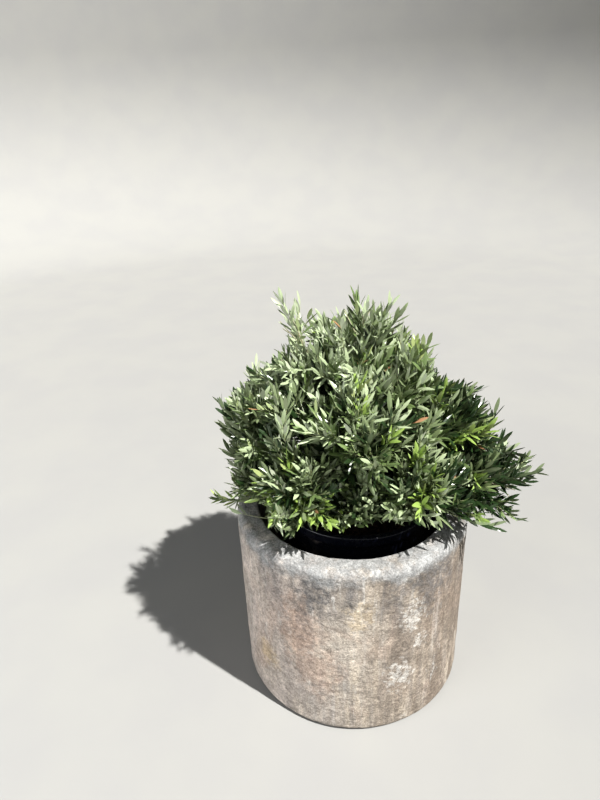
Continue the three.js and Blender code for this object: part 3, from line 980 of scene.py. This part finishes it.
def liner_profile():
    foot_r, top_r, top = LINER.foot_radius, LINER.body_radius, LINER.top
    lip_r, edge, below, rounding = LINER.radius, LINER.edge, top - LINER.lip, 0.0035
    rolled = corner(lip_r - edge, top - edge, edge, 0, 90, 4)
    inner = corner(top_r - LINER.wall + rounding, top - rounding, rounding, 90, 180, 4)
    floor = LINER.foot + LINER.wall
    heel, neck, brim = (foot_r, LINER.foot + 0.004), (top_r - 0.0005, below - edge), (lip_r, below + 0.001)
    inner_foot = (foot_r - LINER.wall, floor)
    return [
        (0, LINER.foot), (foot_r - 0.004, LINER.foot), heel, *run(heel, neck, 0.02),
        neck, (top_r + 0.004, below - 0.001), (lip_r - 0.001, below), brim, *run(brim, rolled[0], 0.004),
        *rolled, *inner, *run(inner[-1], inner_foot, 0.02), inner_foot, (0, floor),
    ]


def slack(x, y, z):
    """The thin pot is a little out of round at its lip."""
    turn = atan2(y - LINER.centre.y, x - LINER.centre.x)
    high = max(0, (z - 0.3) / 0.2) * (from_liner(x, y) > 0.02)
    give = high * (0.0012 * sin(2 * turn + 0.6) + 0.0008 * sin(5 * turn) - 0.001)
    return np.array([cos(turn) * give, sin(turn) * give, high * 0.0007 * sin(3 * turn + 1)])


pot = pushed(lathe(liner_profile(), 180, LINER.centre), slack)
new_piece("nursery_pot", pot, [black_plastic()], ["liner_pot"])


# The soil and what lies on it


def soil_height(x, y):
    fall = min(1, max(0, (from_liner(x, y) - SOIL.flat) / (SOIL.radius - SOIL.flat)))
    clods = 0.0035 * grain((x, y, 0.3), 32, 4) + 0.0016 * grain((x, y, 0.7), 120)
    return SOIL.top - SOIL.mound * fall**1.2 + clods - 0.001


def soil_profile():
    edge = SOIL.radius - 0.001
    return [
        (0, SOIL.foot), (LINER.foot_radius - LINER.wall - 0.001, SOIL.foot), (edge, SOIL.top - SOIL.mound - 0.006),
        *[(r, SOIL.top) for r in np.linspace(edge, 0.002, 62)], (0, SOIL.top),
    ]


vertices, triangles = lathe(soil_profile(), 220, LINER.centre)
for v in vertices:
    if v[2] > SOIL.top - 1e-6:
        v[2] = soil_height(v[0], v[1])
new_piece("soil_surface", (vertices, triangles), [earth()], ["soil"])

CHIP_FACES = np.array([
    (0, 1, 3), (0, 3, 2), (4, 6, 7), (4, 7, 5), (0, 4, 5), (0, 5, 1),
    (2, 3, 7), (2, 7, 6), (0, 2, 6), (0, 6, 4), (1, 5, 7), (1, 7, 3),
])


def chip(x, y, draw):
    """A flake of bark: a box whose corners are pushed about."""
    size = (mix(0.008, 0.022, draw()), mix(0.005, 0.012, draw()), mix(0.002, 0.004, draw()))
    turn = 2 * pi * draw()
    corners = np.array([(x, y, z) for x in (-1, 1) for y in (-1, 1) for z in (-1, 1)], float)
    corners *= [1 + 0.5 * (draw() - 0.5) for _ in range(3)]
    corners += np.array([noise_step(draw) for _ in range(8)]) * 0.55
    turned = Matrix.Rotation(turn, 3, "Z") @ Matrix.Rotation(0.5 * (draw() - 0.5), 3, "X")
    centre = (x, y, soil_height(x, y) + size[2] * 0.35)
    return (corners * np.array(size) / 2) @ np.array(turned).T + centre, CHIP_FACES


def scattered(count, seed):
    """Chips all over the soil, clear of the trunk."""
    draw, parts = seeded(seed), []
    while len(parts) < count:
        r, turn = SOIL.radius * 0.96 * sqrt(draw()), 2 * pi * draw()
        x, y = LINER.centre.x + r * cos(turn), LINER.centre.y + r * sin(turn)
        if hypot(x - TRUNK_FOOT[0], y - TRUNK_FOOT[1]) > 0.042:
            parts.append(chip(x, y, draw))
    return joined(parts)


new_piece("bark_mulch", scattered(420, 71), [bark_chip()], smooth=False)


# The trunk and the boughs, as one skin with the bark's relief


def limb_solid(path, radius_at, count, sides):
    return tube(*balls_along(path, radius_at, count), sides)


def knotted_radius(place, share):
    knots = 0.06 * sin(11 * share + place.seed) + 0.1 * max(0, 1 - share / 0.18)
    return bough_radius(place, share) * (1 + knots)


def root_toe(turn):
    """A root that spreads from the trunk's foot into the soil."""
    toe = TRUNK_FOOT + pointing(turn, 0) * 0.037
    knee = TRUNK_FOOT + (toe - TRUNK_FOOT) * 0.45 + UP * 0.03
    return limb_solid(bend(toe - UP * 0.004, toe * 0.5 + knee * 0.5, knee), lambda s: mix(0.006, 0.01, s), 10, 14)


def limb_skin():
    """All limbs merged into one skin, with shallow upright fissures and lumps."""
    limbs = [limb_solid(TRUNK, lambda s: trunk_radius(s) * (1.0 if s < 0.9 else 0.94), 26, 40)]
    limbs += [limb_solid(p.bough, lambda s: knotted_radius(p, s), 26, 16) for p in PLACES]
    limbs += [root_toe(turn) for turn in (20, 95, 160, 235, 300)]
    core = add_object("limb_core", mesh_of("limb_core", *joined(limbs)))
    remesh = core.modifiers.new("skin", "REMESH")
    remesh.mode, remesh.voxel_size = "VOXEL", 0.0015
    soften = core.modifiers.new("soften", "SMOOTH")
    soften.factor, soften.iterations = 0.5, 4
    skin = bpy.data.meshes.new_from_object(core.evaluated_get(bpy.context.evaluated_depsgraph_get()))
    bpy.data.objects.remove(core)
    places, normals = (np.array([getattr(v, key) for v in skin.vertices]) for key in ("co", "normal"))
    for i, (x, y, z) in enumerate(places):
        # finer on thin wood
        thick = 1.0 if hypot(x - TRUNK_FOOT[0], y - TRUNK_FOOT[1]) < 0.045 else 0.35
        fissure = noise.noise(Vector((x * 190, y * 190, z * 34)))
        places[i] += normals[i] * thick * (0.0011 * grain((x, y, z), 60, 2) - 0.0012 * max(0, fissure - 0.05))
    places[:, 2] = np.maximum(places[:, 2], TRUNK_FOOT[2] - 0.003)
    return places, [list(face.vertices) for face in skin.polygons]


new_piece("limbs", limb_skin(), [bark()], ["trunk"] + ["bough_" + p.name for p in PLACES])


# Stems, twigs and shoots

FOLIAGE_NODES = ["foliage_" + p.name for p in PLACES]


def tapered(path, start, end, count, sides):
    return limb_solid(path, lambda s: mix(start, end, s) * (1 + 0.08 * sin(9 * s)), count, sides)


woody = []
for place in PLACES:
    woody.append(tapered(place.stem, place.bough_radius * BOUGH.tip_share, 0.0012, 14, 8))
    for path, length in place.twig_paths:
        woody.append(tapered(path, mix(0.0012, 0.0024, min(1, length / 0.19)), 0.0009, 9, 6))
twig_bark = plain("twig_bark", (0.6, 0.59, 0.5), 0.75, 0.3)
new_piece("stems_and_twigs", joined(woody), [twig_bark], FOLIAGE_NODES)

fine = [tapered(path, SHOOT.radius, SHOOT.tip_radius, 5, 4) for path in shoots]
new_piece("shoots", joined(fine), [plain("shoot_skin", (0.6, 0.62, 0.47), 0.6)], FOLIAGE_NODES)


# Leaves: corners at the base, three at each station and one at the tip

STATIONS = [(0.09, 0.34), (0.3, 0.9), (0.58, 1.0), (0.83, 0.64)]  # share of length, share of half width
RIDGE = 0.24
TIP = 1 + 3 * len(STATIONS)
LEAF_TOP, LEAF_UNDER = [(0, 1, 2), (0, 2, 3)], [(0, 3, 1)]
for left in range(1, TIP - 3, 3):
    mid, right = left + 1, left + 2
    LEAF_TOP += [(left, left + 3, mid + 3), (left, mid + 3, mid), (mid, mid + 3, right + 3), (mid, right + 3, right)]
    LEAF_UNDER += [(left, right, right + 3), (left, right + 3, left + 3)]
LEAF_TOP += [(TIP - 3, TIP, TIP - 2), (TIP - 2, TIP, TIP - 1)]
LEAF_UNDER += [(TIP - 3, TIP - 1, TIP)]


def leaf_blades(rows):
    """Closed leaf blades, ridged along the midrib and pale beneath."""
    base, along, face, length, width, droop = np.split(rows, (3, 6, 9, 10, 11), axis=1)
    face = unit_rows(face - along * (face * along).sum(axis=1, keepdims=True))
    across, half = np.cross(face, along), width / 2

    def spot(share, side, rise):
        down = droop * length * share**2
        return base + along * length * share + across * half * side + face * (rise * half - down)

    spots = [spot(0, 0, 0)]
    for share, wide in STATIONS:
        spots += [spot(share, wide, 0), spot(share, 0, RIDGE * wide), spot(share, -wide, 0)]
    spots.append(spot(1, 0, 0))
    vertices = np.stack(spots, axis=1).reshape(-1, 3)
    firsts = np.arange(len(rows))[:, None, None] * len(spots)
    triangles = (np.array(LEAF_TOP + LEAF_UNDER) + firsts).reshape(-1, 3)
    looks = np.tile([0] * len(LEAF_TOP) + [1] * len(LEAF_UNDER), len(rows))
    return vertices, triangles, looks


for tint, (top, under, roughness) in TINTS.items():
    looks = [plain("leaf_" + tint, top, roughness), plain("leaf_" + tint + "_under", under, 0.7)]
    new_piece("leaves_" + tint, leaf_blades(np.array(blades[tint])), looks, FOLIAGE_NODES, False)


# The studio: floor and backdrop, lights, camera


def cove():
    """A round studio: a level floor curving up into a wall with a faint painted glow where the key light does not
    reach.
    """
    reach, fillet, top, sides, sink = 7.0, 2.0, 5.6, 96, 0.0005
    profile = [(0.02, 0), (1, 0), (2, 0), *corner(reach - fillet, fillet, fillet, -90, 0, 12), (reach, top)]
    vertices = rings_of(profile, sides) - UP * sink
    piece = add_object("cove", mesh_of("cove", vertices, walls_between(len(profile), sides)))
    look = Look("studio_floor", (0.565, 0.565, 0.56), 0.2, Roughness=0.85, Emission_Color=(1, 1, 1, 1))
    look.layer((0.575, 0.575, 0.565), look.clouds((0.3, 0.7), 3, 3))
    # painted light: the wall glows on the side the key light does not reach, fading out towards the floor
    painted_glow = look.times(look.toward(0.85, -0.52, 0.5, 5.5), look.span(look.axis(2), 0, 1.1))
    look.shade(Base_Color=look.tone, Emission_Strength=look.times(painted_glow, 0.36))
    piece.data.materials.append(look.material)
    piece.visible_shadow = False


def lamp(name, kind, place, aim, power, tone):
    light = bpy.data.lights.new(name, kind)
    light.energy, light.color = power, tone
    holder = add_object(name, light)
    holder.location = place
    holder.rotation_euler = (Vector(aim) - Vector(place)).to_track_quat("-Z", "Y").to_euler()
    return light


cove()
lamp("key", "SUN", (0.47, -0.29, 0.83), (0, 0, 0), 7.4, (1.0, 0.98, 0.95)).angle = radians(1.2)
lamp("softbox", "AREA", (-3.4, -3.0, 2.4), (0, 0, 0.3), 120, (0.95, 0.97, 1.0)).size = 3.0

scene = bpy.context.scene
scene.world = bpy.data.worlds.new("studio")
scene.world.use_nodes = True
backdrop = scene.world.node_tree.nodes["Background"].inputs
backdrop["Color"].default_value, backdrop["Strength"].default_value = (0.86, 0.91, 1.0, 1.0), 0.03

# The camera stands at the eye, turned by these angles; its focal length is in pixels of the photograph
PITCH, ROLL, YAW = radians(26.0737), radians(-2.3608), radians(-5.2389)
FOCAL, IMAGE_HEIGHT, SENSOR = 618.694, 800, 36.0
lens = bpy.data.cameras.new("camera")
lens.sensor_width, lens.lens = SENSOR, FOCAL * SENSOR / IMAGE_HEIGHT
scene.camera = add_object("camera", lens)
tilted = Matrix.Rotation(-YAW, 4, "Z") @ Matrix.Rotation(pi / 2 - PITCH, 4, "X") @ Matrix.Rotation(ROLL, 4, "Z")
scene.camera.matrix_world = Matrix.Translation(EYE) @ tilted
scene.view_settings.view_transform = "Standard"
scene.view_settings.look = "Medium High Contrast"
